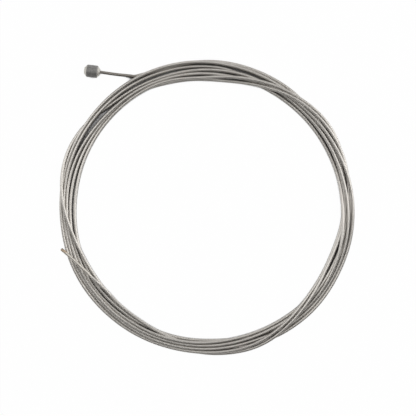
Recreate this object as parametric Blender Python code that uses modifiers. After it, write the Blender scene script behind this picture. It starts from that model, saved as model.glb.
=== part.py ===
"""Coiled bicycle shift cable: a stranded inner wire with a die-cast head on one end.

The wire lies wound in a flat ring of turns on the surface. Its head end leads out of
the ring near the top left, and its bare, fused end crosses over the ring at the lower
left. The middle of the ring is the origin, +Z is up and z = 0 is the surface.

The bundle of turns is one closed solid of the bundle's outer shape, and the two
stretches of wire that leave it are tubes. All sizes are metres.
"""

import math

import bpy
from mathutils import Matrix, Vector

MM = 0.001

# Inner wire
WIRE_DIAMETER = 1.1 * MM
MEET_GAP = 0.3 * MM          # clear space where two pieces meet
TUBE_POINT_SPACING = 2.6 * MM
TUBE_BEVEL_RESOLUTION = 2

# Coil: the upper turns lie in the grooves between the lower ones
COIL_RADIUS = 50.5 * MM      # to the middle of the bundle
LOWER_TURNS = 4              # the upper layer holds one turn less
LANE_SPACE = 0.55 * MM       # clear space between two lower turns
TURN_SWELL = 0.04 * MM       # each turn is this much fuller, so that the bundle is one solid
COIL_STEPS = 60
TURN_ARC_STEP = math.radians(45)

# Head, a turned barrel with a cone at each end, lying on its side
HEAD_DIAMETER = 4.4 * MM
HEAD_LENGTH = 5.7 * MM
HEAD_CONE_LENGTH = 1.05 * MM
HEAD_END_DIAMETER = 2.2 * MM     # flat face at the outer end
HEAD_NECK_DIAMETER = 1.8 * MM    # flat face that the wire leaves from
HEAD_EDGE_ROUND = 0.12 * MM
HEAD_STEPS = 32
HEAD_ANGLE = math.radians(130.2)     # where the head lies, seen from the ring's middle
HEAD_OUTSIDE = 14.0 * MM             # its middle, from the middle of the bundle outwards
HEAD_HEADING = math.radians(-6.5)    # direction in which the wire leaves it

# Route of the head end, from the head to the ring's outer side: degrees around the
# ring, millimetres outwards from the middle of the bundle, share of the head's height
LEAD_ROUTE = (
    (127.05, 10.46, 0.97),
    (125.55, 8.95, 0.77),
    (123.95, 7.52, 0.50),
    (122.25, 6.19, 0.24),
    (120.55, 4.96, 0.07),
)
LEAD_MEETS_COIL = math.radians(118.95)

# Route of the fused end, from the ring's inner side across its top to the outside:
# degrees around the ring, millimetres outwards from the middle of the bundle,
# millimetres below the height at which it crosses the ring
TAIL_ROUTE = (
    (222.0, -3.47, 0.90),
    (219.0, -3.42, 0.72),
    (216.0, -3.05, 0.45),
    (213.5, -2.60, 0.20),
    (211.0, -2.00, 0.03),
    (208.0, -1.35, 0.0),
    (205.0, -0.40, 0.0),
    (202.0, 0.75, 0.0),
    (199.5, 1.90, 0.0),
    (197.2, 3.15, 0.0),
    (195.5, 4.20, 0.0),
)


def wire_radius():
    return WIRE_DIAMETER / 2


def lane_pitch():
    return WIRE_DIAMETER + LANE_SPACE


def layer_rise():
    """Height from the lower layer's centres to those of the upper layer resting on it."""
    return math.sqrt(WIRE_DIAMETER ** 2 - (lane_pitch() / 2) ** 2)


def turn_radius():
    return wire_radius() + TURN_SWELL


def turn_centres():
    """Centres of the turns in the bundle's section, outermost first, as (r, z)."""
    count = 2 * LOWER_TURNS - 1
    outermost = COIL_RADIUS + lane_pitch() * (LOWER_TURNS - 1) / 2
    return [
        Vector((outermost - i * lane_pitch() / 2, turn_radius() + (i % 2) * layer_rise()))
        for i in range(count)
    ]


def coil_outer_radius():
    return turn_centres()[0].x + turn_radius()


def coil_top():
    return turn_radius() + layer_rise() + turn_radius()


def around(angle, outwards, height):
    """Point at an angle around the ring, a distance outwards from the bundle's middle."""
    radius = COIL_RADIUS + outwards
    return Vector((radius * math.cos(angle), radius * math.sin(angle), height))


def head_middle():
    return around(HEAD_ANGLE, HEAD_OUTSIDE, HEAD_DIAMETER / 2)


def head_direction():
    return Vector((math.cos(HEAD_HEADING), math.sin(HEAD_HEADING), 0))


def clockwise_arc(centre, start, end):
    """Points of a clockwise arc about a centre, with its start and without its end."""
    first = math.atan2(start.y - centre.y, start.x - centre.x)
    last = math.atan2(end.y - centre.y, end.x - centre.x)
    if last >= first:
        last -= 2 * math.pi
    steps = 2 * math.ceil((first - last) / (2 * TURN_ARC_STEP))
    angles = [first + (last - first) * i / steps for i in range(steps)]
    radius = (start - centre).length
    return [centre + radius * Vector((math.cos(a), math.sin(a))) for a in angles]


def bundle_outline():
    """Outline of the turns as a chain of overlapping rounds, down its outer side first."""
    centres = turn_centres()
    lower, upper = [], []
    for outer, inner in zip(centres, centres[1:]):
        along = (inner - outer).normalized()
        side = Vector((-along.y, along.x))
        half = (inner - outer).length / 2
        reach = math.sqrt(turn_radius() ** 2 - half ** 2)
        middle = (outer + inner) / 2
        lower.append(middle + reach * side)
        upper.append(middle - reach * side)

    outline = clockwise_arc(centres[0], upper[0], lower[0])
    for i in range(1, len(centres) - 1):
        outline += clockwise_arc(centres[i], lower[i - 1], lower[i])
    outline += clockwise_arc(centres[-1], lower[-1], upper[-1])
    for i in range(len(centres) - 2, 0, -1):
        outline += clockwise_arc(centres[i], upper[i], upper[i - 1])
    return outline


def smooth_points(route, spacing):
    """Evenly spread points on a smooth curve through the route's own points."""
    padded = [2 * route[0] - route[1], *route, 2 * route[-1] - route[-2]]
    fine_steps = 12
    fine = [route[0]]
    for a, b, c, d in zip(padded, padded[1:], padded[2:], padded[3:]):
        for i in range(1, fine_steps + 1):
            t = i / fine_steps
            fine.append(0.5 * (2 * b + (c - a) * t + (2 * a - 5 * b + 4 * c - d) * t ** 2
                               + (3 * b - a - 3 * c + d) * t ** 3))

    lengths = [0.0]
    for a, b in zip(fine, fine[1:]):
        lengths.append(lengths[-1] + (b - a).length)
    count = max(2, round(lengths[-1] / spacing))
    points, k = [], 0
    for i in range(count + 1):
        target = lengths[-1] * i / count
        while k < len(fine) - 2 and lengths[k + 1] < target:
            k += 1
        share = (target - lengths[k]) / (lengths[k + 1] - lengths[k])
        points.append(fine[k].lerp(fine[k + 1], share))
    return points


def make_material(name, colour, metallic, roughness):
    material = bpy.data.materials.new(name)
    material.use_nodes = True
    shader = material.node_tree.nodes["Principled BSDF"]
    shader.inputs["Base Color"].default_value = (*colour, 1)
    shader.inputs["Metallic"].default_value = metallic
    shader.inputs["Roughness"].default_value = roughness
    return material


def add_screw(obj, steps):
    screw = obj.modifiers.new("Turn", "SCREW")
    screw.axis = "Z"
    screw.angle = 2 * math.pi
    screw.steps = steps
    screw.render_steps = steps
    screw.use_merge_vertices = True
    screw.merge_threshold = 0.00001
    screw.use_smooth_shade = True


def profile_object(name, points, closed, collection, material):
    """Object of a profile in the XZ plane, ready to be turned about Z."""
    mesh = bpy.data.meshes.new(name)
    edges = [(i, i + 1) for i in range(len(points) - 1)]
    if closed:
        edges.append((len(points) - 1, 0))
    mesh.from_pydata([(p[0], 0, p[1]) for p in points], edges, [])
    mesh.materials.append(material)
    obj = bpy.data.objects.new(name, mesh)
    collection.objects.link(obj)
    return obj


def make_coil(collection, material):
    coil = profile_object("wire_coil", bundle_outline(), True, collection, material)
    add_screw(coil, COIL_STEPS)
    return coil


def make_head(collection, material):
    """Die-cast head: two flat ends, two cones and a barrel, its own +Z towards the wire."""
    half = HEAD_LENGTH / 2
    shoulder = half - HEAD_CONE_LENGTH
    profile = [
        (0, half),
        (HEAD_NECK_DIAMETER / 2, half),
        (HEAD_DIAMETER / 2, shoulder),
        (HEAD_DIAMETER / 2, -shoulder),
        (HEAD_END_DIAMETER / 2, -half),
        (0, -half),
    ]
    head = profile_object("cable_head", profile, False, collection, material)
    add_screw(head, HEAD_STEPS)
    bevel = head.modifiers.new("Cast edges", "BEVEL")
    bevel.width = HEAD_EDGE_ROUND
    bevel.segments = 2
    bevel.limit_method = "ANGLE"
    bevel.angle_limit = math.radians(25)
    lying = Matrix.Rotation(HEAD_HEADING, 4, "Z") @ Matrix.Rotation(math.pi / 2, 4, "Y")
    head.matrix_world = Matrix.Translation(head_middle()) @ lying
    return head


def make_tube(name, route, collection, material):
    """Round wire along a route, with closed ends."""
    points = smooth_points(route, TUBE_POINT_SPACING)
    curve = bpy.data.curves.new(name, "CURVE")
    curve.dimensions = "3D"
    curve.bevel_depth = wire_radius()
    curve.bevel_resolution = TUBE_BEVEL_RESOLUTION
    curve.render_resolution_u = 0
    curve.use_fill_caps = True
    spline = curve.splines.new("POLY")
    spline.points.add(len(points) - 1)
    for spot, point in zip(spline.points, points):
        spot.co = (*point, 1)
    curve.materials.append(material)
    tube = bpy.data.objects.new(name, curve)
    collection.objects.link(tube)
    return tube


def lead_points():
    """From the head's neck, at the head's middle height, down to the ring's outer side."""
    start = head_middle() + head_direction() * (HEAD_LENGTH / 2 + MEET_GAP)
    low = wire_radius()
    fall = HEAD_DIAMETER / 2 - low
    route = [start]
    for degrees, outwards, share in LEAD_ROUTE:
        route.append(around(math.radians(degrees), outwards * MM, low + share * fall))
    clear = coil_outer_radius() - COIL_RADIUS + MEET_GAP + wire_radius()
    route.append(around(LEAD_MEETS_COIL, clear, low))
    return route


def tail_points():
    """From the ring's inner side over its top, and out past its outer side."""
    crossing = coil_top() + MEET_GAP + wire_radius()
    return [
        around(math.radians(degrees), outwards * MM, crossing - below * MM)
        for degrees, outwards, below in TAIL_ROUTE
    ]


def main():
    for obj in list(bpy.data.objects):
        bpy.data.objects.remove(obj, do_unlink=True)
    collection = bpy.data.collections.new("coiled_shift_cable")
    bpy.context.scene.collection.children.link(collection)

    stainless = {"colour": (0.50, 0.49, 0.46), "metallic": 1.0, "roughness": 0.32}
    make_coil(collection, make_material("stainless_coil", **stainless))
    make_tube("wire_lead", lead_points(), collection, make_material("stainless_lead", **stainless))
    make_tube("wire_tail", tail_points(), collection, make_material("stainless_tail", **stainless))
    zinc = make_material("zinc_head", (0.26, 0.26, 0.25), 1.0, 0.45)
    make_head(collection, zinc)


main()
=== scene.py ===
"""Looks of a coiled bicycle shift cable: stranded wire, die-cast head and fused end.

The wire is one rope of twelve bright outer wires laid round a core. It leaves the head,
dives under the ring, runs round it seven times and crosses over it to its fused end.
The turns follow listed lanes and are settled onto each other, so that each one
rests on the surface or on the turns below it. Lengths are millimetres up to the point
where a mesh is made, and metres from there on.
"""

import logging
import math
from dataclasses import dataclass
from enum import Enum
from typing import Any

import bpy
import numpy as np
from mathutils import Matrix, Vector, noise


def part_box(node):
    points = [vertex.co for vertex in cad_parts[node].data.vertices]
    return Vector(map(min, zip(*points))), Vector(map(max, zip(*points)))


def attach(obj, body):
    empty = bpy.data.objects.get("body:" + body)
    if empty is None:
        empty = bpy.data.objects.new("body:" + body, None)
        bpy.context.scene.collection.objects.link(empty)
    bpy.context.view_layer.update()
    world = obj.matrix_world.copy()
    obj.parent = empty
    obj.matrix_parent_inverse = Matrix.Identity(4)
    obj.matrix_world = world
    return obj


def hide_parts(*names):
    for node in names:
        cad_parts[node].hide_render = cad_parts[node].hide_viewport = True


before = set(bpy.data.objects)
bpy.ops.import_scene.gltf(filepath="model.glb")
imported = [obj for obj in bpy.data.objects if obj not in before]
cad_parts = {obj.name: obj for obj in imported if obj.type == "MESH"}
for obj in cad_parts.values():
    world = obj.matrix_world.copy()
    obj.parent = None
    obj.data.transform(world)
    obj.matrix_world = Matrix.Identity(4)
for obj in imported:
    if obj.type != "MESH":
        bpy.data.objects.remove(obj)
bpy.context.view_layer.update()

LOG = logging.getLogger("shift_cable")
MM = 0.001
BODY = "root"

# The photograph looks straight down on the ring
PHOTO_PIXELS = 416
MM_PER_PIXEL = 0.36
PHOTO_CENTRE = (0.0, 0.11)

# Wire and head, as the construction has them
WIRE_DIAMETER = 1.1
MEET_GAP = 0.3
COIL_RADIUS = 50.5
HEAD_DIAMETER = 4.4
HEAD_LENGTH = 5.7
HEAD_CONE_LENGTH = 1.05
HEAD_END_DIAMETER = 2.2
HEAD_NECK_DIAMETER = 1.8
HEAD_ANGLE = 130.2
HEAD_OUTSIDE = 14.0
HEAD_HEADING = -6.5

# Distance between two sections of the rope, along the wire
SECTION_SPACING = 0.95

# Head end, from the head to the ring: degrees round the ring, millimetres outwards from
# the middle of the bundle, share of the head's height
LEAD_ROUTE = (
    (127.05, 10.46, 0.97),
    (125.55, 8.95, 0.77),
    (123.95, 7.52, 0.50),
    (122.25, 6.19, 0.24),
    (120.55, 4.96, 0.07),
)

# Fused end, from the ring's inner side to the outside: degrees round the ring,
# millimetres outwards, millimetres below the height at which it crosses the ring
TAIL_ROUTE = (
    (222.0, -3.47, 0.90),
    (219.0, -3.42, 0.72),
    (216.0, -3.05, 0.45),
    (213.5, -2.60, 0.20),
    (211.0, -2.00, 0.03),
    (208.0, -1.35, 0.0),
    (205.0, -0.40, 0.0),
    (202.0, 0.75, 0.0),
    (199.5, 1.90, 0.0),
    (197.2, 3.15, 0.0),
    (195.5, 4.20, 0.0),
)

# Lanes of the seven turns, in the order in which the wire runs from its head: degrees
# round the ring, millimetres outwards from the middle of the bundle, layer
LANES = (
    # turn 1
    (
        (119, 3.92, 0), (117, 3.20, 0), (115, 2.70, 0), (112, 2.27, 0), (108, 2.09, 0),
        (104, 2.09, 0), (91, 2.48, 0), (85, 2.45, 0), (55, 1.22, 0), (40, -0.04, 0),
        (30, -0.30, 0), (20, -0.05, 0), (14, -0.15, 0), (8, -0.75, 0), (3, -1.35, 0),
        (-5, -1.80, 0), (-15, -2.77, 0), (-20, -3.10, 0),
        (-27, -3.13, 0), (-35, -3.02, 0.5), (-40, -2.77, 1), (-45, -2.34, 1.5), (-60, -0.11, 2),
        (-70, 1.01, 2), (-74, 1.30, 2), (-80, 1.40, 1.5), (-85, 1.33, 1), (-100, 1.01, 1),
        (-110, 1.22, 0.5), (-120, 1.62, 0), (-140, 2.23, 0), (-150, 2.38, 0), (-175, 2.20, 0),
        (-190, 2.63, 0), (-200, 2.77, 0), (-216, 2.88, 1), (-225, 3.02, 1),
    ),
    # turn 2
    (
        (120, 3.06, 1), (100, 2.63, 1), (90, 2.23, 1), (85, 1.84, 1), (65, 0.76, 1),
        (55, 0.40, 0.5), (45, -0.40, 0), (40, -0.85, 0), (30, -1.25, 0), (20, -1.30, 0),
        (12, -1.35, 0.5), (0, -1.15, 1), (-8, -1.50, 1), (-16, -2.41, 0.5), (-20, -2.70, 0.5),
        (-25, -2.77, 1), (-30, -2.63, 1.5),
        (-35, -2.16, 2), (-45, -0.97, 2), (-57, 0.72, 2), (-65, 2.02, 1.5), (-70, 2.40, 1),
        (-75, 2.54, 0.5), (-80, 2.29, 0), (-90, 1.97, 0), (-110, 0.07, 0), (-130, -2.45, 0),
        (-135, -2.99, 0), (-140, -3.31, 0), (-150, -2.97, 1), (-160, -2.27, 2), (-170, -0.83, 2),
        (-175, 0.07, 2), (-177, 0.79, 2), (-187, 2.56, 2), (-195, 3.64, 1.5), (-200, 3.96, 1),
        (-202, 4.03, 0.5), (-210, 3.53, 0), (-213, 3.17, 0), (-216, 2.70, 0), (-225, 0.72, 0),
        (-230, 0.32, 0.5), (-235, 0.25, 0.5),
    ),
    # turn 3
    (
        (120, 0.04, 1), (110, -0.40, 1), (70, -0.94, 1), (67, -1.04, 0.5), (55, -1.19, 0),
        (50, -1.33, 1), (40, -1.33, 1), (20, -1.12, 1), (10, -0.83, 1), (-10, 0.43, 1.5),
        (-20, 0.86, 1.5), (-40, 1.33, 1.5), (-45, 1.40, 1), (-50, 1.22, 0.5), (-55, 0.90, 0),
        (-65, 0.11, 0.5), (-70, -0.14, 1), (-110, 0.68, 1), (-143, 1.12, 1), (-157, 1.48, 1),
        (-170, 1.22, 0.5), (-175, 1.30, 0), (-185, 1.69, 0), (-195, 1.87, 1),
    ),
    # turn 4
    (
        (120, 1.76, 1), (100, 1.15, 1), (90, 0.72, 1), (85, 0.58, 0.5), (80, 0.11, 0),
        (69, -2.34, 0), (67, -2.59, 0), (50, -2.95, 0), (30, -2.84, 0), (20, -2.56, 0),
        (10, -2.12, 0.5), (0, -1.85, 1), (-15, -0.90, 1), (-30, -0.25, 1), (-45, 0.14, 1),
        (-50, -0.11, 0), (-55, -0.47, 0), (-75, -2.16, 0), (-85, -2.88, 0), (-90, -2.92, 0),
        (-100, -2.61, 0), (-120, -2.50, 0), (-135, -2.27, 0.5), (-144, -1.76, 0.5),
        (-150, -1.76, 0), (-188, -2.69, 0), (-210, -2.51, 0),
    ),
    # turn 5
    (
        (120, -1.82, 0.5), (115, -1.69, 0), (110, -1.84, 0), (105, -2.27, 0), (95, -3.49, 0.5),
        (90, -3.50, 0.5), (85, -3.05, 1), (80, -2.65, 1.5), (77, -2.40, 2), (71, -1.70, 2),
        (67, -1.20, 2), (57, 0.11, 2), (48, 1.12, 2), (45, 1.66, 1.5), (40, 2.20, 1),
        (35, 2.47, 0.5), (30, 2.43, 0), (27, 2.22, 0), (25, 1.84, 0), (20, 1.19, 0),
        (15, 0.72, 0), (-10, 0.43, 0), (-20, 0.11, 0), (-30, -0.54, 0), (-45, -1.84, 0),
        (-50, -2.12, 0), (-60, -2.45, 1), (-75, -2.63, 1), (-80, -2.56, 1), (-135, -0.68, 1),
        (-143, -0.22, 1), (-170, -0.50, 0.5), (-180, -0.79, 1), (-217, -1.55, 1),
        (-232, -1.48, 0),
    ),
    # turn 6
    (
        (120, -1.62, 0), (115, -2.45, 0), (110, -2.95, 0), (105, -3.35, 0), (95, -3.74, 0),
        (90, -4.25, 0), (86, -4.30, 0.5), (80, -4.14, 1), (75, -3.74, 1), (72, -3.28, 1.5),
        (65, -2.34, 1.5), (60, -1.37, 1.5), (50, 0.32, 1.5), (35, 1.48, 1.5), (30, 1.69, 1),
        (25, 1.80, 1), (16, 1.50, 0.5), (13, 1.08, 0.5), (3, 0.10, 0.5), (-5, -0.65, 0),
        (-10, -0.60, 0), (-15, -0.60, 0), (-20, -0.85, 0.5), (-30, -1.20, 0.5), (-38, -1.19, 0),
        (-55, -1.33, 0), (-65, -1.48, 1), (-75, -1.37, 1), (-143, 0.32, 1), (-152, 0.68, 1),
        (-185, 0.61, 0.5), (-190, 0.65, 1), (-195, 0.54, 1), (-205, 0.08, 1), (-210, -0.32, 1),
        (-218, -0.80, 1), (-225, -1.15, 1),
    ),
    # turn 7
    (
        (120, -1.37, 1), (110, -1.69, 1), (90, -1.98, 1), (78, -2.30, 1), (74, -2.16, 1),
        (70, -1.73, 1), (62, -0.54, 1), (58, -0.29, 0.5), (54, -0.25, 0), (45, -0.36, 0.5),
        (40, -0.22, 1), (20, 0.61, 1), (13, 1.12, 1), (5, 1.50, 1), (-10, 2.00, 0.5),
        (-15, 2.04, 0), (-25, 1.89, 0), (-45, 2.14, 0), (-60, 1.87, 0), (-65, 1.62, 0),
        (-80, 0.47, 0), (-120, -3.28, 0), (-130, -3.44, 1), (-138, -3.42, 2),
    ),
)


class Slot(Enum):
    """Names of material slots for the strand and the casting."""

    STRAND = "stainless_strand"
    CASTING = "zinc_casting"


class Lay(Enum):
    """Hand of the helix in which the outer wires are laid."""

    RIGHT = 1
    LEFT = -1


def linear(hex_colour: str) -> tuple[float, float, float, float]:
    """Turn an sRGB hex colour into linear RGBA.

    Args:
        hex_colour: colour as "#rrggbb".

    Returns:
        The linear red, green and blue, with an alpha of 1.
    """
    channels = [int(hex_colour[i:i + 2], 16) / 255 for i in (1, 3, 5)]
    values = [c / 12.92 if c <= 0.04045 else ((c + 0.055) / 1.055) ** 2.4 for c in channels]
    return (*values, 1.0)


def add_node(
    tree: bpy.types.NodeTree,
    kind: str,
    settings: dict[str, Any] | None = None,
    inputs: dict[str | int, Any] | None = None,
) -> bpy.types.Node:
    """Add a node with its settings and links.

    Args:
        tree: node tree that gets the node.
        kind: the node's type name.
        settings: values of its properties.
        inputs: for each socket a value, or the output that is linked to it.

    Returns:
        The new node.
    """
    node = tree.nodes.new(kind)
    for name, value in (settings or {}).items():
        setattr(node, name, value)
    for key, value in (inputs or {}).items():
        if isinstance(value, bpy.types.NodeSocket):
            tree.links.new(value, node.inputs[key])
        else:
            node.inputs[key].default_value = value
    return node


def empty_material(name: str) -> tuple[bpy.types.Material, bpy.types.NodeTree]:
    """Make a material whose node tree is empty."""
    material = bpy.data.materials.new(name)
    material.use_nodes = True
    material.node_tree.nodes.clear()
    return material, material.node_tree


# A colour mix, with the sockets of its two colours and its result
COLOUR_MIX = {"data_type": "RGBA"}
MIX_FROM = 6
MIX_TO = 7
MIX_RESULT = 2

# A map range that eases in and out, and the range that most of a noise's values lie in
SMOOTH = {"interpolation_type": "SMOOTHSTEP"}
NOISE_LOW = 0.3
NOISE_HIGH = 0.7

# Anisotropic rotation, from along the wire to across it
QUARTER_TURN = 0.25


@dataclass(frozen=True)
class DrawnStainless:
    """Stainless steel wire, cold drawn: bright, with fine lines along it and a dark film with
    painted shade below.

    The lines spread each highlight across the wire. They are about 0.01 mm apart on real
    wire and drawn five times coarser here, so that a close view shows them. Near the head
    the wire was etched before the casting, and it is duller there.
    """

    name: str = "drawn_stainless_wire"
    crown: str = "#d6d2cc"
    shade: str = "#c6c2bc"
    # film and painted shade: colour of each outer wire's inner side, between the strands
    film_and_shade: str = "#8f8a84"
    etched: str = "#98938c"
    etched_until: float = 13.5
    etching_fade: float = 5.0
    roughness: float = 0.40
    line_spread: float = 0.80
    line_spacing: float = 0.05
    line_length: float = 6.0
    patch_length: float = 9.0
    patch_width: float = 2 / 3
    line_depth: float = 0.0015
    film_and_shade_edge: tuple[float, float] = (-0.35, 0.55)

    def build(self) -> bpy.types.Material:
        """Build the material; it reads the wire's own map in millimetres."""
        material, tree = empty_material(self.name)
        along = add_node(tree, "ShaderNodeUVMap", {"uv_map": "wire_mm"}).outputs["UV"]
        stretched = add_node(tree, "ShaderNodeMapping", inputs={
            "Vector": along, "Scale": (1 / self.line_length, 1 / self.line_spacing, 1),
        }).outputs["Vector"]
        lines = add_node(tree, "ShaderNodeTexNoise", inputs={
            "Vector": stretched, "Scale": 1.0, "Detail": 3.0, "Roughness": 0.6,
        }).outputs["Fac"]
        spread = add_node(tree, "ShaderNodeMapping", inputs={
            "Vector": along, "Scale": (1 / self.patch_length, 1 / self.patch_width, 1),
        }).outputs["Vector"]
        patches = add_node(tree, "ShaderNodeTexNoise", inputs={
            "Vector": spread, "Scale": 1.0, "Detail": 4.0, "Roughness": 0.65,
        }).outputs["Fac"]
        tone = add_node(tree, "ShaderNodeMix", COLOUR_MIX, {
            0: patches, MIX_FROM: linear(self.shade), MIX_TO: linear(self.crown),
        }).outputs[MIX_RESULT]
        outward = add_node(tree, "ShaderNodeAttribute", {
            "attribute_name": "outward",
        }).outputs["Fac"]
        clean = add_node(tree, "ShaderNodeMapRange", SMOOTH, {
            "Value": outward, "From Min": self.film_and_shade_edge[0], "From Max": self.film_and_shade_edge[1],
        }).outputs["Result"]
        # film and painted shade: the inner side of each outer wire is mixed towards the dark colour
        film_and_shaded = add_node(tree, "ShaderNodeMix", COLOUR_MIX, {
            0: clean, MIX_FROM: linear(self.film_and_shade), MIX_TO: tone,
        }).outputs[MIX_RESULT]
        from_head = add_node(tree, "ShaderNodeSeparateXYZ", inputs={
            "Vector": along,
        }).outputs["X"]
        etching = add_node(tree, "ShaderNodeMapRange", SMOOTH, {
            "Value": from_head, "From Min": self.etched_until,
            "From Max": self.etched_until + self.etching_fade, "To Min": 1.0, "To Max": 0.0,
        }).outputs["Result"]
        colour = add_node(tree, "ShaderNodeMix", COLOUR_MIX, {
            0: etching, MIX_FROM: film_and_shaded, MIX_TO: linear(self.etched),
        }).outputs[MIX_RESULT]
        rough = add_node(tree, "ShaderNodeMapRange", inputs={
            "Value": lines, "From Min": NOISE_LOW, "From Max": NOISE_HIGH,
            "To Min": self.roughness - 0.05, "To Max": self.roughness + 0.08,
        }).outputs["Result"]
        drawn = add_node(tree, "ShaderNodeTangent", {
            "direction_type": "UV_MAP", "uv_map": "wire_mm",
        }).outputs["Tangent"]
        bump = add_node(tree, "ShaderNodeBump", inputs={
            "Strength": 0.5, "Distance": self.line_depth * MM, "Height": lines,
        }).outputs["Normal"]
        shader = add_node(tree, "ShaderNodeBsdfPrincipled", inputs={
            "Base Color": colour, "Metallic": 1.0, "Roughness": rough, "Normal": bump,
            "Anisotropic": self.line_spread, "Anisotropic Rotation": QUARTER_TURN,
            "Tangent": drawn,
        })
        add_node(tree, "ShaderNodeOutputMaterial", inputs={"Surface": shader.outputs["BSDF"]})
        return material


@dataclass(frozen=True)
class DieCastZinc:
    """Zinc alloy, pressure die cast and tumbled: dull grey, mottled, with a fine soft grain.

    The grain is 0.12 mm, about what tumbling leaves, and the mottling follows the way
    the metal ran in the die. Its oxide skin takes away some of the metal's mirror. The cones
    carry a painted highlight: they are painted lighter and more metallic than the barrel.
    """

    name: str = "die_cast_zinc"
    light: str = "#918f8c"
    dark: str = "#7d7c79"
    # colour of the painted highlight on the cones
    cone_highlight_colour: str = "#d2cfc8"
    metal_share: float = 0.35
    roughness: float = 0.48
    grain: float = 0.12
    mottle: float = 0.9
    pit_spacing: float = 0.45
    pit_edge: tuple[float, float] = (0.05, 0.28)
    pit_share: float = 0.6
    grain_depth: float = 0.010

    def build(self) -> bpy.types.Material:
        """Build the material; its patterns lie in the piece's own space."""
        material, tree = empty_material(self.name)
        place = add_node(tree, "ShaderNodeTexCoord").outputs["Object"]
        mottling = add_node(tree, "ShaderNodeTexNoise", inputs={
            "Vector": place, "Scale": 1 / (self.mottle * MM), "Detail": 5.0, "Roughness": 0.6,
        }).outputs["Fac"]
        grain = add_node(tree, "ShaderNodeTexNoise", inputs={
            "Vector": place, "Scale": 1 / (self.grain * MM), "Detail": 2.0, "Roughness": 0.5,
        }).outputs["Fac"]
        pits = add_node(tree, "ShaderNodeTexVoronoi", inputs={
            "Vector": place, "Scale": 1 / (self.pit_spacing * MM),
        }).outputs["Distance"]
        pit_floor = add_node(tree, "ShaderNodeMapRange", SMOOTH, {
            "Value": pits, "From Min": self.pit_edge[0], "From Max": self.pit_edge[1],
        }).outputs["Result"]
        height = add_node(tree, "ShaderNodeMath", {"operation": "MULTIPLY_ADD"}, {
            0: pit_floor, 1: self.pit_share, 2: grain,
        }).outputs["Value"]
        evened = add_node(tree, "ShaderNodeMapRange", SMOOTH, {
            "Value": mottling, "From Min": NOISE_LOW, "From Max": NOISE_HIGH,
        }).outputs["Result"]
        skin = add_node(tree, "ShaderNodeMix", COLOUR_MIX, {
            0: evened, MIX_FROM: linear(self.dark), MIX_TO: linear(self.light),
        }).outputs[MIX_RESULT]
        # painted highlight: where this attribute is 1, on the cones, the colour is lighter and more
        # metallic
        cone_highlight = add_node(tree, "ShaderNodeAttribute", {
            "attribute_name": "cone_highlight",
        }).outputs["Fac"]
        colour = add_node(tree, "ShaderNodeMix", COLOUR_MIX, {
            0: cone_highlight, MIX_FROM: skin, MIX_TO: linear(self.cone_highlight_colour),
        }).outputs[MIX_RESULT]
        metal = add_node(tree, "ShaderNodeMapRange", inputs={
            "Value": cone_highlight, "To Min": self.metal_share, "To Max": 1.0,
        }).outputs["Result"]
        rough = add_node(tree, "ShaderNodeMapRange", inputs={
            "Value": mottling, "From Min": NOISE_LOW, "From Max": NOISE_HIGH,
            "To Min": self.roughness + 0.08, "To Max": self.roughness - 0.04,
        }).outputs["Result"]
        bump = add_node(tree, "ShaderNodeBump", inputs={
            "Strength": 0.35, "Distance": self.grain_depth * MM, "Height": height,
        }).outputs["Normal"]
        shader = add_node(tree, "ShaderNodeBsdfPrincipled", inputs={
            "Base Color": colour, "Metallic": metal, "Roughness": rough, "Normal": bump,
        })
        add_node(tree, "ShaderNodeOutputMaterial", inputs={"Surface": shader.outputs["BSDF"]})
        return material


@dataclass(frozen=True)
class FusedSteel:
    """Stainless steel, melted together at the cut: smooth, straw coloured, dark at the face.

    The tint runs from bare steel through straw to a dark scale at the face, as the heat
    oxide grows thicker. The heat is 0 where the tint starts and 1 at the face.
    """

    name: str = "fused_stainless_end"
    bare: str = "#d8d3ca"
    straw: str = "#cab69f"
    oxide: str = "#4b4642"
    straw_heat: tuple[float, float] = (0.55, 1.00)
    oxide_heat: tuple[float, float] = (1.10, 1.32)
    unevenness: float = 0.30
    roughness: float = 0.42
    ripple: float = 0.35
    ripple_depth: float = 0.004

    def build(self) -> bpy.types.Material:
        """Build the material; it reads how far along the fused stretch a point lies."""
        material, tree = empty_material(self.name)
        place = add_node(tree, "ShaderNodeTexCoord").outputs["Object"]
        cloud = add_node(tree, "ShaderNodeTexNoise", inputs={
            "Vector": place, "Scale": 1 / (self.ripple * MM), "Detail": 3.0,
        }).outputs["Fac"]
        heat = add_node(tree, "ShaderNodeAttribute", {
            "attribute_name": "heated",
        }).outputs["Fac"]
        uneven = add_node(tree, "ShaderNodeMath", {"operation": "MULTIPLY_ADD"}, {
            0: cloud, 1: self.unevenness, 2: heat,
        }).outputs["Value"]
        straw = add_node(tree, "ShaderNodeMapRange", SMOOTH, {
            "Value": uneven, "From Min": self.straw_heat[0], "From Max": self.straw_heat[1],
        }).outputs["Result"]
        oxide = add_node(tree, "ShaderNodeMapRange", SMOOTH, {
            "Value": uneven, "From Min": self.oxide_heat[0], "From Max": self.oxide_heat[1],
        }).outputs["Result"]
        warm = add_node(tree, "ShaderNodeMix", COLOUR_MIX, {
            0: straw, MIX_FROM: linear(self.bare), MIX_TO: linear(self.straw),
        }).outputs[MIX_RESULT]
        colour = add_node(tree, "ShaderNodeMix", COLOUR_MIX, {
            0: oxide, MIX_FROM: warm, MIX_TO: linear(self.oxide),
        }).outputs[MIX_RESULT]
        rough = add_node(tree, "ShaderNodeMapRange", inputs={
            "Value": uneven, "From Min": 0.2, "From Max": 1.2,
            "To Min": self.roughness, "To Max": self.roughness + 0.25,
        }).outputs["Result"]
        bump = add_node(tree, "ShaderNodeBump", inputs={
            "Strength": 0.4, "Distance": self.ripple_depth * MM, "Height": cloud,
        }).outputs["Normal"]
        shader = add_node(tree, "ShaderNodeBsdfPrincipled", inputs={
            "Base Color": colour, "Metallic": 1.0, "Roughness": rough, "Normal": bump,
        })
        add_node(tree, "ShaderNodeOutputMaterial", inputs={"Surface": shader.outputs["BSDF"]})
        return material


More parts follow.
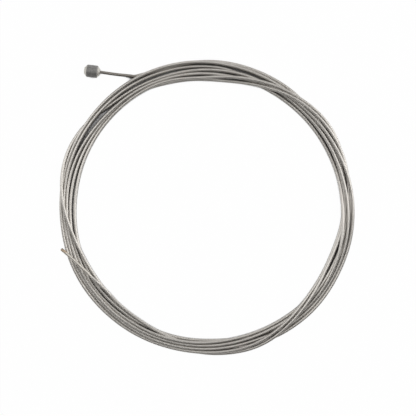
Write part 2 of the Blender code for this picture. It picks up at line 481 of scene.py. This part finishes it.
@dataclass(frozen=True)
class PaperSweep:
    """Matt white background paper: white in the open, with painted shadow in the slits between
    turns.

    The paper shows its own white where it lies open. Where ambient occlusion finds wires close
    over it, its glow fades and its colour is painted dark grey: painted shadow. The metal mirrors
    the paper right beside it, and there a wider, softer rim of painted shadow dims the glow.
    """

    name: str = "white_paper_sweep"
    white: str = "#f4f4f4"
    # painted shadow colour of the paper in the slits between turns
    painted_slit_shade: str = "#646260"
    lit_share: float = 0.98
    slit_reach: float = 2.5
    slit: tuple[float, float] = (0.44, 0.58)
    rim_reach: float = 6.0
    rim: tuple[float, float] = (0.56, 1.0)

    def build(self) -> bpy.types.Material:
        """Build the material, white to the camera and to metal that mirrors it."""
        material, tree = empty_material(self.name)
        openness = []
        for reach, (closed, clear) in ((self.rim_reach, self.rim), (self.slit_reach, self.slit)):
            sky = add_node(tree, "ShaderNodeAmbientOcclusion", {"samples": 24}, {
                "Distance": reach * MM,
            }).outputs["AO"]
            openness.append(add_node(tree, "ShaderNodeMapRange", SMOOTH, {
                "Value": sky, "From Min": closed, "From Max": clear,
            }).outputs["Result"])
        rays = add_node(tree, "ShaderNodeLightPath")
        # painted shadow: camera rays take the slits' openness, other rays the wider rim's
        mirrored, direct = openness
        clear = add_node(tree, "ShaderNodeMix", inputs={
            0: rays.outputs["Is Camera Ray"], 2: mirrored, 3: direct,
        }).outputs[0]
        seen = add_node(tree, "ShaderNodeMath", {"operation": "MAXIMUM"}, {
            0: rays.outputs["Is Camera Ray"], 1: rays.outputs["Is Glossy Ray"],
        }).outputs["Value"]
        seen = add_node(tree, "ShaderNodeMath", {"operation": "MAXIMUM"}, {
            0: seen, 1: rays.outputs["Is Transmission Ray"],
        }).outputs["Value"]
        lit = add_node(tree, "ShaderNodeMath", {"operation": "MULTIPLY"}, {
            0: clear, 1: self.lit_share,
        }).outputs["Value"]
        share = add_node(tree, "ShaderNodeMath", {"operation": "MULTIPLY"}, {
            0: seen, 1: lit,
        }).outputs["Value"]
        # painted shadow: the paper's colour turns dark grey where the slits close in
        tone = add_node(tree, "ShaderNodeMix", COLOUR_MIX, {
            0: clear, MIX_FROM: linear(self.painted_slit_shade), MIX_TO: linear(self.white),
        }).outputs[MIX_RESULT]
        paper = add_node(tree, "ShaderNodeBsdfDiffuse", inputs={"Color": tone})
        light = add_node(tree, "ShaderNodeEmission", inputs={"Strength": 1.0})
        mixed = add_node(tree, "ShaderNodeMixShader", inputs={
            0: share, 1: paper.outputs["BSDF"], 2: light.outputs["Emission"],
        })
        add_node(tree, "ShaderNodeOutputMaterial", inputs={"Surface": mixed.outputs["Shader"]})
        return material


def round_ring(degrees: np.ndarray, outwards: np.ndarray, height: np.ndarray) -> np.ndarray:
    """Place points round the ring.

    Args:
        degrees: angles round the ring.
        outwards: distances outwards from the middle of the bundle.
        height: heights over the surface.

    Returns:
        The points, one to a row.
    """
    angle = np.radians(degrees)
    radius = COIL_RADIUS + np.asarray(outwards)
    return np.stack([radius * np.cos(angle), radius * np.sin(angle), height], axis=-1)


def smooth_line(points: np.ndarray, spacing: float) -> np.ndarray:
    """Spread points evenly along a smooth curve through a route's own points.

    Args:
        points: the route's points.
        spacing: distance between the new points.

    Returns:
        The new points.
    """
    padded = np.concatenate([2 * points[:1] - points[1:2], points, 2 * points[-1:] - points[-2:-1]])
    a, b, c, d = padded[:-3], padded[1:-2], padded[2:-1], padded[3:]
    t = np.linspace(0, 1, 8, endpoint=False)[None, :, None]
    a, b, c, d = (k[:, None, :] for k in (a, b, c, d))
    fine = 0.5 * (2 * b + (c - a) * t + (2 * a - 5 * b + 4 * c - d) * t ** 2
                  + (3 * b - a - 3 * c + d) * t ** 3)
    fine = np.concatenate([fine.reshape(-1, 3), points[-1:]])
    along = np.concatenate([[0], np.cumsum(np.linalg.norm(np.diff(fine, axis=0), axis=1))])
    places = np.linspace(0, along[-1], round(along[-1] / spacing) + 1)
    return np.stack([np.interp(places, along, fine[:, k]) for k in range(3)], axis=1)


def unit(vectors: np.ndarray) -> np.ndarray:
    """Scale each row to length one."""
    return vectors / np.linalg.norm(vectors, axis=-1, keepdims=True)


@dataclass
class Winding:
    """The seven turns, laid in their lanes and settled onto each other.

    The turns are compared at stations round the ring. Each station's wires fall, are held
    off the surface and off each other, are pulled back to their lanes, and bend no more
    sharply than a stiff wire does. Where two turns cross, the layers say which is on top.
    """

    first_angle: float = 119.0
    stations: int = 144
    layer_height: float = 0.95
    easing: float = 1.6
    clearance: float = 0.02
    rounds: int = 700
    fall: float = 0.006
    stiffness: float = 8.0
    lane_pull: float = 0.04
    sideways: float = 0.8
    least_rise: float = 0.3
    least_lift: float = 0.02

    def travelled(self, turn: int, degrees: float) -> float:
        """Degrees travelled from the first station to an angle on a turn."""
        return self.first_angle - degrees + 360 * turn

    def knots(self) -> np.ndarray:
        """Collect the lanes' knots as travelled degrees, millimetres outwards and layer."""
        rows = [
            (self.travelled(turn, degrees), outwards, layer)
            for turn, lane in enumerate(LANES)
            for degrees, outwards, layer in lane
        ]
        return np.array(rows)

    def tail_height(self) -> float:
        """Height at which the fused end crosses the ring."""
        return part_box("wire_coil")[1].z / MM + MEET_GAP + WIRE_DIAMETER / 2

    def tail_knots(self) -> np.ndarray:
        """Collect the fused end's route as travelled degrees, outwards and height."""
        last = len(LANES)
        return np.array([
            (self.travelled(last, degrees), outwards, self.tail_height() - below)
            for degrees, outwards, below in TAIL_ROUTE
        ])

    def eased(self, values: np.ndarray) -> np.ndarray:
        """Round off a lane's corners over a few stations."""
        reach = math.ceil(3 * self.easing)
        steps = np.arange(-reach, reach + 1)
        weights = np.exp(-0.5 * (steps / self.easing) ** 2)
        padded = np.concatenate([
            2 * values[0] - values[reach:0:-1], values, 2 * values[-1] - values[-2:-reach - 2:-1],
        ])
        return np.convolve(padded, weights / weights.sum(), "valid")

    def bending(self, count: int) -> np.ndarray:
        """Matrix that straightens a row of stations as a stiff wire would."""
        second = np.diff(np.eye(count), 2, axis=0)
        return np.linalg.inv(np.eye(count) + self.stiffness * second.T @ second)

    def settle(self) -> tuple[np.ndarray, np.ndarray, np.ndarray]:
        """Lay the turns and let them settle.

        Returns:
            The stations' angles in degrees, millimetres outwards and heights, up to the
            start of the fused end's route.
        """
        knots, tail = self.knots(), self.tail_knots()
        places = np.arange(0, tail[-1, 0] + 1e-6, 360 / self.stations)
        free = places < tail[0, 0]
        laid = np.concatenate([knots[:-1, :2], tail[:, :2]])
        lane = np.interp(places, laid[:, 0], laid[:, 1])
        lane[free] = self.eased(lane[free])
        layer = np.interp(places, knots[:, 0], knots[:, 2])
        floor = WIRE_DIAMETER / 2
        height = np.where(free, floor + self.layer_height * layer,
                          np.interp(places, tail[:, 0], tail[:, 2]))
        outwards = lane.copy()
        fixed = ~free
        fixed[0] = True
        held = outwards[fixed].copy(), height[fixed].copy()
        layer[~free] = len(LANES)
        slope = np.gradient(lane, math.radians(360 / self.stations) * COIL_RADIUS)
        straighten = self.bending(len(places))
        crossings = []
        for gap in range(self.stations, len(places), self.stations):
            lean = 1 / np.sqrt(1 + (slope[gap:] - slope[:-gap]) ** 2)
            crossings.append((gap, lean, np.sign(layer[gap:] - layer[:-gap])))
        for _ in range(self.rounds):
            height -= self.fall
            for gap, lean, order in crossings:
                across = (outwards[gap:] - outwards[:-gap]) * lean
                rise = height[gap:] - height[:-gap]
                above = np.where(order == 0, np.where(rise < 0, -1, 1), order)
                least = np.where(order == 0, self.least_lift, self.least_rise)
                lift = np.maximum(above * rise, least)
                distance = np.hypot(across, lift)
                push = np.maximum(WIRE_DIAMETER + self.clearance - distance, 0) / distance / 2
                height[gap:] += push * lift * above
                height[:-gap] -= push * lift * above
                outwards[gap:] += self.sideways * push * across
                outwards[:-gap] -= self.sideways * push * across
            height = np.maximum(straighten @ np.maximum(height, floor), floor)
            outwards = lane + (1 - self.lane_pull) * (straighten @ (outwards - lane))
            outwards[fixed], height[fixed] = held
        nearest = min(
            np.hypot((outwards[gap:] - outwards[:-gap]) * lean, height[gap:] - height[:-gap]).min()
            for gap, lean, _ in crossings
        )
        LOG.info("winding: least distance between turns %.3f mm, highest centre %.2f mm",
                 nearest, height[free].max())
        return self.first_angle - places[free], outwards[free], height[free]


@dataclass
class CastHead:
    """Die-cast head: a barrel with a cone at each end, and a bore that the wire enters."""

    steps: int = 96
    edge_round: float = 0.16
    neck_round: float = 0.05
    round_steps: int = 4
    bore: float = 0.62
    bore_depth: float = 1.3
    bore_lip: float = 0.08
    seam_height: float = 0.035
    seam_width: float = 0.10
    unevenness: float = 0.018
    uneven_scale: float = 0.8
    spacing: float = 0.12
    # reach past each shoulder over which the cones' painted highlight rises
    cone_highlight_reach: float = 0.35

    def middle(self) -> Vector:
        """Middle of the head."""
        spot = round_ring(HEAD_ANGLE, HEAD_OUTSIDE, HEAD_DIAMETER / 2)
        return Vector(spot)

    def heading(self) -> Vector:
        """Direction in which the wire leaves the head."""
        angle = math.radians(HEAD_HEADING)
        return Vector((math.cos(angle), math.sin(angle), 0))

    def neck(self, beyond: float = 0.0) -> Vector:
        """Point on the head's axis, a distance beyond its neck."""
        return self.middle() + self.heading() * (HEAD_LENGTH / 2 + beyond)

    def profile(self) -> list[tuple[float, float]]:
        """Half section from the bore's floor round to the outer end, as (r, along)."""
        half = HEAD_LENGTH / 2
        shoulder = half - HEAD_CONE_LENGTH
        corners = [
            (0.0, half - self.bore_depth, 0.0),
            (self.bore, half - self.bore_depth, 0.0),
            (self.bore, half - self.bore_lip, 0.0),
            (self.bore + self.bore_lip, half, 0.0),
            (HEAD_NECK_DIAMETER / 2, half, self.neck_round),
            (HEAD_DIAMETER / 2, shoulder, self.edge_round),
            (HEAD_DIAMETER / 2, -shoulder, self.edge_round),
            (HEAD_END_DIAMETER / 2, -half, self.edge_round),
            (0.0, -half, 0.0),
        ]
        outline = [Vector(corners[0][:2])]
        for before, (r, along, rounding), after in zip(corners, corners[1:], corners[2:]):
            spot = Vector((r, along))
            back = (Vector(before[:2]) - spot).normalized()
            ahead = (Vector(after[:2]) - spot).normalized()
            if rounding:
                start, end = spot + back * rounding, spot + ahead * rounding
                for k in range(self.round_steps + 1):
                    t = k / self.round_steps
                    outline.append(start.lerp(spot, t).lerp(spot.lerp(end, t), t))
            else:
                outline.append(spot)
        outline.append(Vector(corners[-1][:2]))
        dense = [outline[0]]
        for a, b in zip(outline, outline[1:]):
            pieces = max(1, round((b - a).length / self.spacing))
            dense += [a.lerp(b, k / pieces) for k in range(1, pieces + 1)]
        return [(max(p.x, 0.0), p.y) for p in dense]

    def surface(self, r: float, along: float, angle: float) -> Vector:
        """Place a point of the casting, with its parting seam and slight unevenness."""
        outer = r > self.bore + 2 * self.bore_lip
        turn = math.remainder(angle - math.pi / 2, math.pi)
        seam = self.seam_height * math.exp(-((turn * r / self.seam_width) ** 2)) * outer
        spot = Vector((r * math.cos(angle), r * math.sin(angle), along))
        grow = self.unevenness * noise.noise(spot * self.uneven_scale) * outer
        radial = Vector((math.cos(angle), math.sin(angle), 0))
        return spot + radial * (seam + grow)

    def build(self, finish: bpy.types.Material) -> bpy.types.Object:
        """Build the head's mesh where the head lies.

        Args:
            finish: the casting's material.

        Returns:
            The head.
        """
        profile = self.profile()
        shoulder = HEAD_LENGTH / 2 - HEAD_CONE_LENGTH
        vertices, rows, cone_highlight = [], [], []
        for r, along in profile:
            count = self.steps if r > 0 else 1
            rows.append(range(len(vertices), len(vertices) + count))
            vertices += [
                self.surface(r, along, 2 * math.pi * k / self.steps) for k in range(count)
            ]
            # painted highlight on the cones: 0 on the barrel, rising to 1 past each shoulder
            cone_highlight += [min(max((abs(along) - shoulder) / self.cone_highlight_reach, 0.0), 1.0)] * count
        faces = []
        for near, far in zip(rows, rows[1:]):
            for k in range(self.steps):
                after = (k + 1) % self.steps
                ring = [near[k % len(near)], near[after % len(near)],
                        far[after % len(far)], far[k % len(far)]]
                faces.append(list(dict.fromkeys(ring)))
        heading = Matrix.Rotation(math.radians(HEAD_HEADING), 4, "Z")
        lying = Matrix.Rotation(math.pi / 2, 4, "Y")
        place = Matrix.Translation(self.middle()) @ heading @ lying
        mesh = bpy.data.meshes.new("head_casting")
        mesh.from_pydata([(place @ v) * MM for v in vertices], [], [f[::-1] for f in faces])
        values = mesh.attributes.new("cone_highlight", "FLOAT", "POINT")
        values.data.foreach_set("value", cone_highlight)
        mesh.shade_smooth()
        mesh.materials.append(finish)
        head = bpy.data.objects.new("head_casting", mesh)
        bpy.context.collection.objects.link(head)
        return head


@dataclass
class WireRoute:
    """The whole route of the wire, from inside the head to the tip of the fused end."""

    winding: Winding
    head: CastHead
    socket: float = 1.2

    def points(self, spacing: float) -> np.ndarray:
        """Spread points evenly along the wire.

        Args:
            spacing: distance between two points.

        Returns:
            The points, head end first.
        """
        low = WIRE_DIAMETER / 2
        fall = HEAD_DIAMETER / 2 - low
        degrees, outwards, share = np.array(LEAD_ROUTE).T
        lead = round_ring(degrees, outwards, low + share * fall)
        coil = round_ring(*self.winding.settle())
        degrees, outwards, below = np.array(TAIL_ROUTE).T
        tail = round_ring(degrees, outwards, self.winding.tail_height() - below)
        start = np.array([self.head.neck(-self.socket), self.head.neck(MEET_GAP)])
        return smooth_line(np.concatenate([start, lead, coil, tail]), spacing)


def round_section(radii: np.ndarray) -> np.ndarray:
    """Turn radii at each point and each side into a section's corners."""
    turn = 2 * math.pi * np.arange(radii.shape[1]) / radii.shape[1]
    return np.stack([radii * np.cos(turn), radii * np.sin(turn)], axis=-1)


def tube(
    name: str,
    centres: np.ndarray,
    first: np.ndarray,
    second: np.ndarray,
    section: np.ndarray,
    finish: bpy.types.Material,
    facing: np.ndarray | None = None,
) -> bpy.types.Object:
    """Sweep a section along a line, with closed ends and a map in millimetres.

    Args:
        centres: the line's points.
        first: unit vector at each point, along the section's first axis.
        second: unit vector at each point, square to the first and to the line.
        section: the section's corners at each point, on its two axes.
        finish: the tube's material.
        facing: directions in which one section's corners face, on its two axes; left
            out, each corner faces between its two sides.

    Returns:
        The tube, with its map "wire_mm" and its attribute "outward".
    """
    rings, sides = section.shape[:2]
    offset = section[:, :, :1] * first[:, None] + section[:, :, 1:] * second[:, None]
    vertices = (centres[:, None] + offset).reshape(-1, 3)
    ring, side = np.meshgrid(np.arange(rings - 1), np.arange(sides), indexing="ij")
    after = (side + 1) % sides
    corners = [ring * sides + side, ring * sides + after,
               (ring + 1) * sides + after, (ring + 1) * sides + side]
    quads = np.stack(corners, axis=-1).reshape(-1, 4)
    ends = [list(range(sides))[::-1], list(range((rings - 1) * sides, rings * sides))]
    mesh = bpy.data.meshes.new(name)
    mesh.from_pydata((vertices * MM).tolist(), [], quads.tolist() + ends)
    steps = np.linalg.norm(np.diff(centres, axis=0), axis=1)
    along = np.concatenate([[0], np.cumsum(steps)])
    width = np.linalg.norm(section - np.roll(section, -1, axis=1), axis=2).mean()
    u = np.stack([along[ring], along[ring], along[ring + 1], along[ring + 1]], axis=-1)
    v = np.stack([side, side + 1, side + 1, side], axis=-1) * width
    flat = np.stack([u, v], axis=-1).reshape(-1, 2)
    layer = mesh.uv_layers.new(name="wire_mm")
    layer.uv.foreach_set("vector", np.concatenate([flat, np.zeros((2 * sides, 2))]).ravel())
    outward = mesh.attributes.new("outward", "FLOAT", "POINT")
    outward.data.foreach_set("value", (section[:, :, 0] / section[:, :, 0].max()).ravel())
    mesh.shade_smooth()
    if facing is not None:
        normals = facing[None, :, :1] * first[:, None] + facing[None, :, 1:] * second[:, None]
        mesh.normals_split_custom_set_from_vertices(normals.reshape(-1, 3).tolist())
    mesh.materials.append(finish)
    obj = bpy.data.objects.new(name, mesh)
    bpy.context.collection.objects.link(obj)
    return obj


@dataclass
class StrandedWire:
    """The rope: twelve outer wires laid round a core, along the wire's route.

    The rope was drawn through a die after it was laid, so each outer wire has a crown that
    follows the rope's round. Its section lists the corners of one side, outwards and
    sideways; the first ones are the crown's.
    """

    path: np.ndarray
    outer_wires: int = 12
    outer_diameter: float = 0.22
    half_section: tuple[tuple[float, float], ...] = (
        (0.106, 0.066), (0.095, 0.128), (0.080, 0.134), (0.030, 0.124),
    )
    crown_corners: int = 2
    core_diameter: float = 0.80
    lay_length: float = 13.8
    lay: Lay = Lay.LEFT
    core_sides: int = 8
    hidden_end: float = 14.0

    def __post_init__(self) -> None:
        """Work out the directions along, across and up from the route."""
        self.along = unit(np.gradient(self.path, axis=0))
        self.across = unit(np.cross([0.0, 0.0, 1.0], self.along))
        self.up = np.cross(self.along, self.across)
        steps = np.linalg.norm(np.diff(self.path, axis=0), axis=1)
        self.distance = np.concatenate([[0], np.cumsum(steps)])

    def length(self) -> float:
        """Length of the wire."""
        return float(self.distance[-1])

    def build_core(self, finish: bpy.types.Material) -> bpy.types.Object:
        """Build the core, which fills the rope inside its outer wires."""
        radii = np.full((len(self.path), self.core_sides), self.core_diameter / 2)
        return tube("rope_core", self.path, self.across, self.up, round_section(radii), finish)

    def phase(self, number: int) -> np.ndarray:
        """Angle of an outer wire round the rope at each point of the route."""
        turns = self.distance / self.lay_length * self.lay.value + number / self.outer_wires
        return 2 * math.pi * turns

    def outer_section(self) -> tuple[np.ndarray, np.ndarray]:
        """Section of an outer wire: its corners and the directions in which they face."""
        half, radius = list(self.half_section), self.outer_diameter / 2
        mirrored = [(out, -side) for out, side in half[::-1]]
        corners = np.array([(radius, 0.0), *half, (-radius, 0.0), *mirrored])
        before, after = np.roll(corners, 1, axis=0), np.roll(corners, -1, axis=0)
        run = unit(corners - before) + unit(after - corners)
        facing = np.stack([run[:, 1], -run[:, 0]], axis=1)
        crown = np.arange(-self.crown_corners, self.crown_corners + 1)
        facing[crown] = corners[crown] + [WIRE_DIAMETER / 2 - radius, 0.0]
        return corners, unit(facing)

    def build_outer(self, number: int, finish: bpy.types.Material) -> bpy.types.Object:
        """Build one outer wire.

        Args:
            number: its place round the rope, from 0.
            finish: its material.

        Returns:
            The outer wire.
        """
        shown = self.distance <= self.length() - self.hidden_end
        turn = self.phase(number)[shown, None]
        out = np.cos(turn) * self.across[shown] + np.sin(turn) * self.up[shown]
        centres = self.path[shown] + (WIRE_DIAMETER - self.outer_diameter) / 2 * out
        ahead = unit(np.gradient(centres, axis=0))
        second = unit(np.cross(ahead, out))
        first = np.cross(second, ahead)
        corners, facing = self.outer_section()
        section = np.tile(corners, (len(centres), 1, 1))
        name = f"outer_wire_{number + 1:02d}"
        return tube(name, centres, first, second, section, finish, facing)


@dataclass
class FusedEnd:
    """The cut end of the wire, melted together so that it can't fray.

    The outer wires' crowns fade into it over its first stretch, and only its last stretch
    has a heat tint. Each ring on its sunk face lists a share of the radius, a share of the
    dimple's depth, and the heat.
    """

    length: float = 15.0
    heated: float = 4.6
    sides: int = 48
    spacing: float = 0.08
    cover: float = 0.006
    ridge: float = 0.035
    fade: float = 6.0
    swelling: float = 0.02
    swell_scale: float = 1.1
    swell_round: float = 0.7
    taper: float = 0.05
    taper_reach: float = 1.2
    edge_round: float = 0.14
    dimple: float = 0.06
    face_rings: tuple[tuple[float, float, float], ...] = (
        (0.72, 0.15, 1.5), (0.40, 0.80, 1.6), (0.08, 1.00, 1.6),
    )
    torch_side: float = 0.25

    def build(self, rope: StrandedWire, finish: bpy.types.Material) -> bpy.types.Object:
        """Build the fused stretch over the end of the rope.

        Args:
            rope: the rope that it ends.
            finish: its material.

        Returns:
            The fused end.
        """
        start = rope.length() - self.length
        places = np.linspace(start, rope.length(), round(self.length / self.spacing) + 1)

        def read(values: np.ndarray) -> np.ndarray:
            """Read a value of the route at each ring."""
            columns = [np.interp(places, rope.distance, column) for column in values.T]
            return np.stack(columns, axis=1)

        centres, across, up = read(rope.path), unit(read(rope.across)), unit(read(rope.up))
        left = places[-1] - places
        turn = 2 * math.pi * np.arange(self.sides) / self.sides
        phase = np.interp(places, rope.distance, rope.phase(0))
        crowns = np.abs(np.cos(rope.outer_wires / 2 * (turn[None] - phase[:, None])))
        melt = np.clip((places - start) / self.fade, 0, 1)[:, None]
        radius = WIRE_DIAMETER / 2 + self.cover - self.ridge * (1 - crowns) * (1 - melt) ** 1.5
        radius = radius - self.taper * np.clip(1 - left / self.taper_reach, 0, 1)[:, None] ** 2
        into = np.clip(self.edge_round - left, 0, None)[:, None]
        rounded = np.sqrt(np.maximum(self.edge_round ** 2 - into ** 2, 0))
        radius = radius - (self.edge_round - rounded)
        around = [Vector((math.cos(a), math.sin(a), 0)) * self.swell_round for a in turn]
        swell = np.array([
            [noise.noise(Vector(c) * self.swell_scale + side) for side in around] for c in centres
        ])
        radius = radius + self.swelling * swell * melt
        shares, depths, face_heat = np.array(self.face_rings).T
        face = radius[-1:] * shares[:, None]
        sunk = centres[-1] - rope.along[-1] * self.dimple * depths[:, None]
        centres = np.concatenate([centres, sunk])
        across = np.concatenate([across, np.repeat(across[-1:], len(shares), axis=0)])
        up = np.concatenate([up, np.repeat(up[-1:], len(shares), axis=0)])
        section = round_section(np.concatenate([radius, face]))
        end = tube("fused_end", centres, across, up, section, finish)
        heat = np.append(np.maximum(1 - left / self.heated, 0), face_heat)
        heat = heat[:, None] - self.torch_side * np.cos(turn)
        values = end.data.attributes.new("heated", "FLOAT", "POINT")
        values.data.foreach_set("value", heat.ravel())
        return end


@dataclass(frozen=True)
class Softbox:
    """One soft studio light that points at the ring."""

    name: str
    place: tuple[float, float, float]
    width: float
    height: float
    strength: float

    def build(self) -> bpy.types.Object:
        """Build the light; its strength is the brightness of its face, where 1 is white."""
        lamp = bpy.data.lights.new(self.name, "AREA")
        lamp.shape = "RECTANGLE"
        lamp.size, lamp.size_y = self.width, self.height
        lamp.energy = self.strength * math.pi * self.width * self.height
        light = bpy.data.objects.new(self.name, lamp)
        light.location = self.place
        light.rotation_euler = (-Vector(self.place)).to_track_quat("-Z", "Y").to_euler()
        bpy.context.collection.objects.link(light)
        return light


@dataclass
class Studio:
    """Camera, pale floor, soft lights and surroundings, in metres."""

    camera_distance: float = 0.5
    camera_level: float = 0.0015
    floor_size: float = 3.0
    surroundings: str = "#626262"
    lights: tuple[Softbox, ...] = (
        Softbox("overhead_strip", (0.05, 0.14, 0.80), 2.0, 0.50, 1.27),
        Softbox("left_softbox", (-0.85, 0.25, 0.45), 0.6, 0.6, 1.4),
        Softbox("right_softbox", (0.85, 0.22, 0.45), 0.7, 0.7, 2.4),
        Softbox("back_softbox", (0.25, 0.75, 0.55), 1.4, 0.5, 0.9),
    )

    def build_camera(self) -> bpy.types.Object:
        """Build the camera straight above the ring, at the photograph's scale."""
        data = bpy.data.cameras.new("camera")
        frame_width = PHOTO_PIXELS * MM_PER_PIXEL * MM
        data.lens = data.sensor_width * self.camera_distance / frame_width
        data.clip_start, data.clip_end = 0.01, 10.0
        camera = bpy.data.objects.new("camera", data)
        x, y = (value * MM for value in PHOTO_CENTRE)
        camera.location = (x, y, self.camera_level + self.camera_distance)
        bpy.context.collection.objects.link(camera)
        bpy.context.scene.camera = camera
        return camera

    def build_floor(self, finish: bpy.types.Material) -> bpy.types.Object:
        """Build the floor that the ring lies on."""
        half = self.floor_size / 2
        mesh = bpy.data.meshes.new("floor")
        mesh.from_pydata([(-half, -half, 0), (half, -half, 0), (half, half, 0), (-half, half, 0)],
                         [], [(0, 1, 2, 3)])
        mesh.materials.append(finish)
        floor = bpy.data.objects.new("floor", mesh)
        bpy.context.collection.objects.link(floor)
        return floor

    def build_lights(self) -> None:
        """Build the softboxes and the plain surroundings."""
        for light in self.lights:
            light.build()
        world = bpy.data.worlds.new("surroundings")
        world.use_nodes = True
        world.node_tree.nodes.clear()
        sky = add_node(world.node_tree, "ShaderNodeBackground", inputs={
            "Color": linear(self.surroundings), "Strength": 1.0,
        })
        add_node(world.node_tree, "ShaderNodeOutputWorld", inputs={
            "Surface": sky.outputs["Background"],
        })
        bpy.context.scene.world = world


def place_piece(piece: bpy.types.Object) -> bpy.types.Object:
    """Let a piece ride on the part's body and report it."""
    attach(piece, BODY)
    LOG.info("%s: %d faces", piece.name, len(piece.data.polygons))
    return piece


def main() -> None:
    """Build the camera and the wire, then the head, the fused end and the studio."""
    logging.basicConfig(level=logging.INFO, format="%(message)s")
    bpy.context.scene.view_settings.view_transform = "Standard"
    studio = Studio()
    studio.build_camera()

    head = CastHead()
    rope = StrandedWire(WireRoute(Winding(), head).points(SECTION_SPACING))
    steel = DrawnStainless().build()
    core = place_piece(rope.build_core(steel))
    outer = [rope.build_outer(number, steel) for number in range(rope.outer_wires)]
    fused = FusedEnd().build(rope, FusedSteel().build())
    pieces = [place_piece(piece) for piece in (*outer, fused)]
    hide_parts("wire_coil", "wire_lead", "wire_tail")
    round(rope.length() * MM, 3)
    LOG.info("wire: %.1f mm long", rope.length())

    casting = place_piece(head.build(DieCastZinc().build()))
    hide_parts("cable_head")

    studio.build_floor(PaperSweep().build())
    studio.build_lights()


if __name__ == "__main__":
    main()
